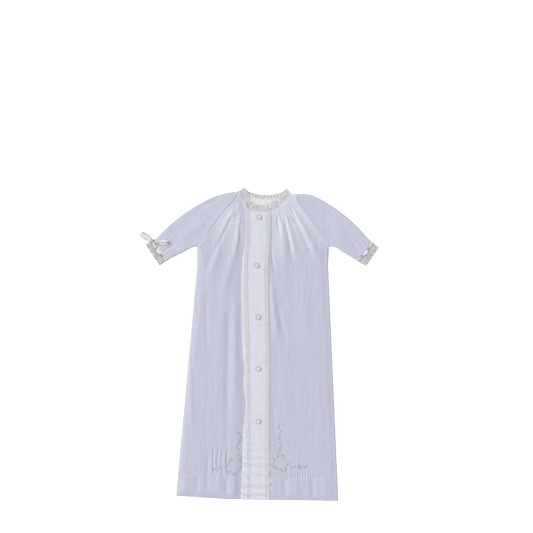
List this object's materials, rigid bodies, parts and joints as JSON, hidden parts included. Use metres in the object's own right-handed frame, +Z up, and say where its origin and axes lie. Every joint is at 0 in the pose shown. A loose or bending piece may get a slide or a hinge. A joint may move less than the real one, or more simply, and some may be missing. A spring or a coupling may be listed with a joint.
{
  "type": "baby daygown",
  "caption": "Long-sleeved raglan daygown for a baby in thin white cotton, laid flat, with a lace-edged button placket, a lace neck and ribbon-threaded lace cuffs.",
  "frame": {"origin": "centre of the underside, on the surface that the gown lies on", "axes": "+X to the wearer's left sleeve, which is the viewer's right; +Y from the hem to the neck; +Z up from the surface, out of the gown's front"},
  "size_m": [0.4388, 0.5798, 0.0082],
  "materials": {
    "cotton": "matte",
    "lace": "matte",
    "satin": "satin",
    "pearl": "gloss"
  },
  "bodies": {
    "root": {"back": "cotton", "front_right": "cotton", "front_left": "cotton", "sleeve_right": "cotton", "sleeve_left": "cotton", "placket": "cotton", "neck_binding_back": "cotton", "placket_lace_right": "lace", "placket_lace_left": "lace", "neck_lace_front_right": "lace", "neck_lace_front_left": "lace", "neck_lace_back": "lace", "cuff_lace_right": "lace", "cuff_lace_left": "lace", "cuff_ribbon_right": "satin", "cuff_ribbon_left": "satin", "cuff_bow_right": "satin", "button_1": "pearl", "button_2": "pearl", "button_3": "pearl", "button_4": "pearl", "button_5": "pearl"}
  },
  "joints": []
}
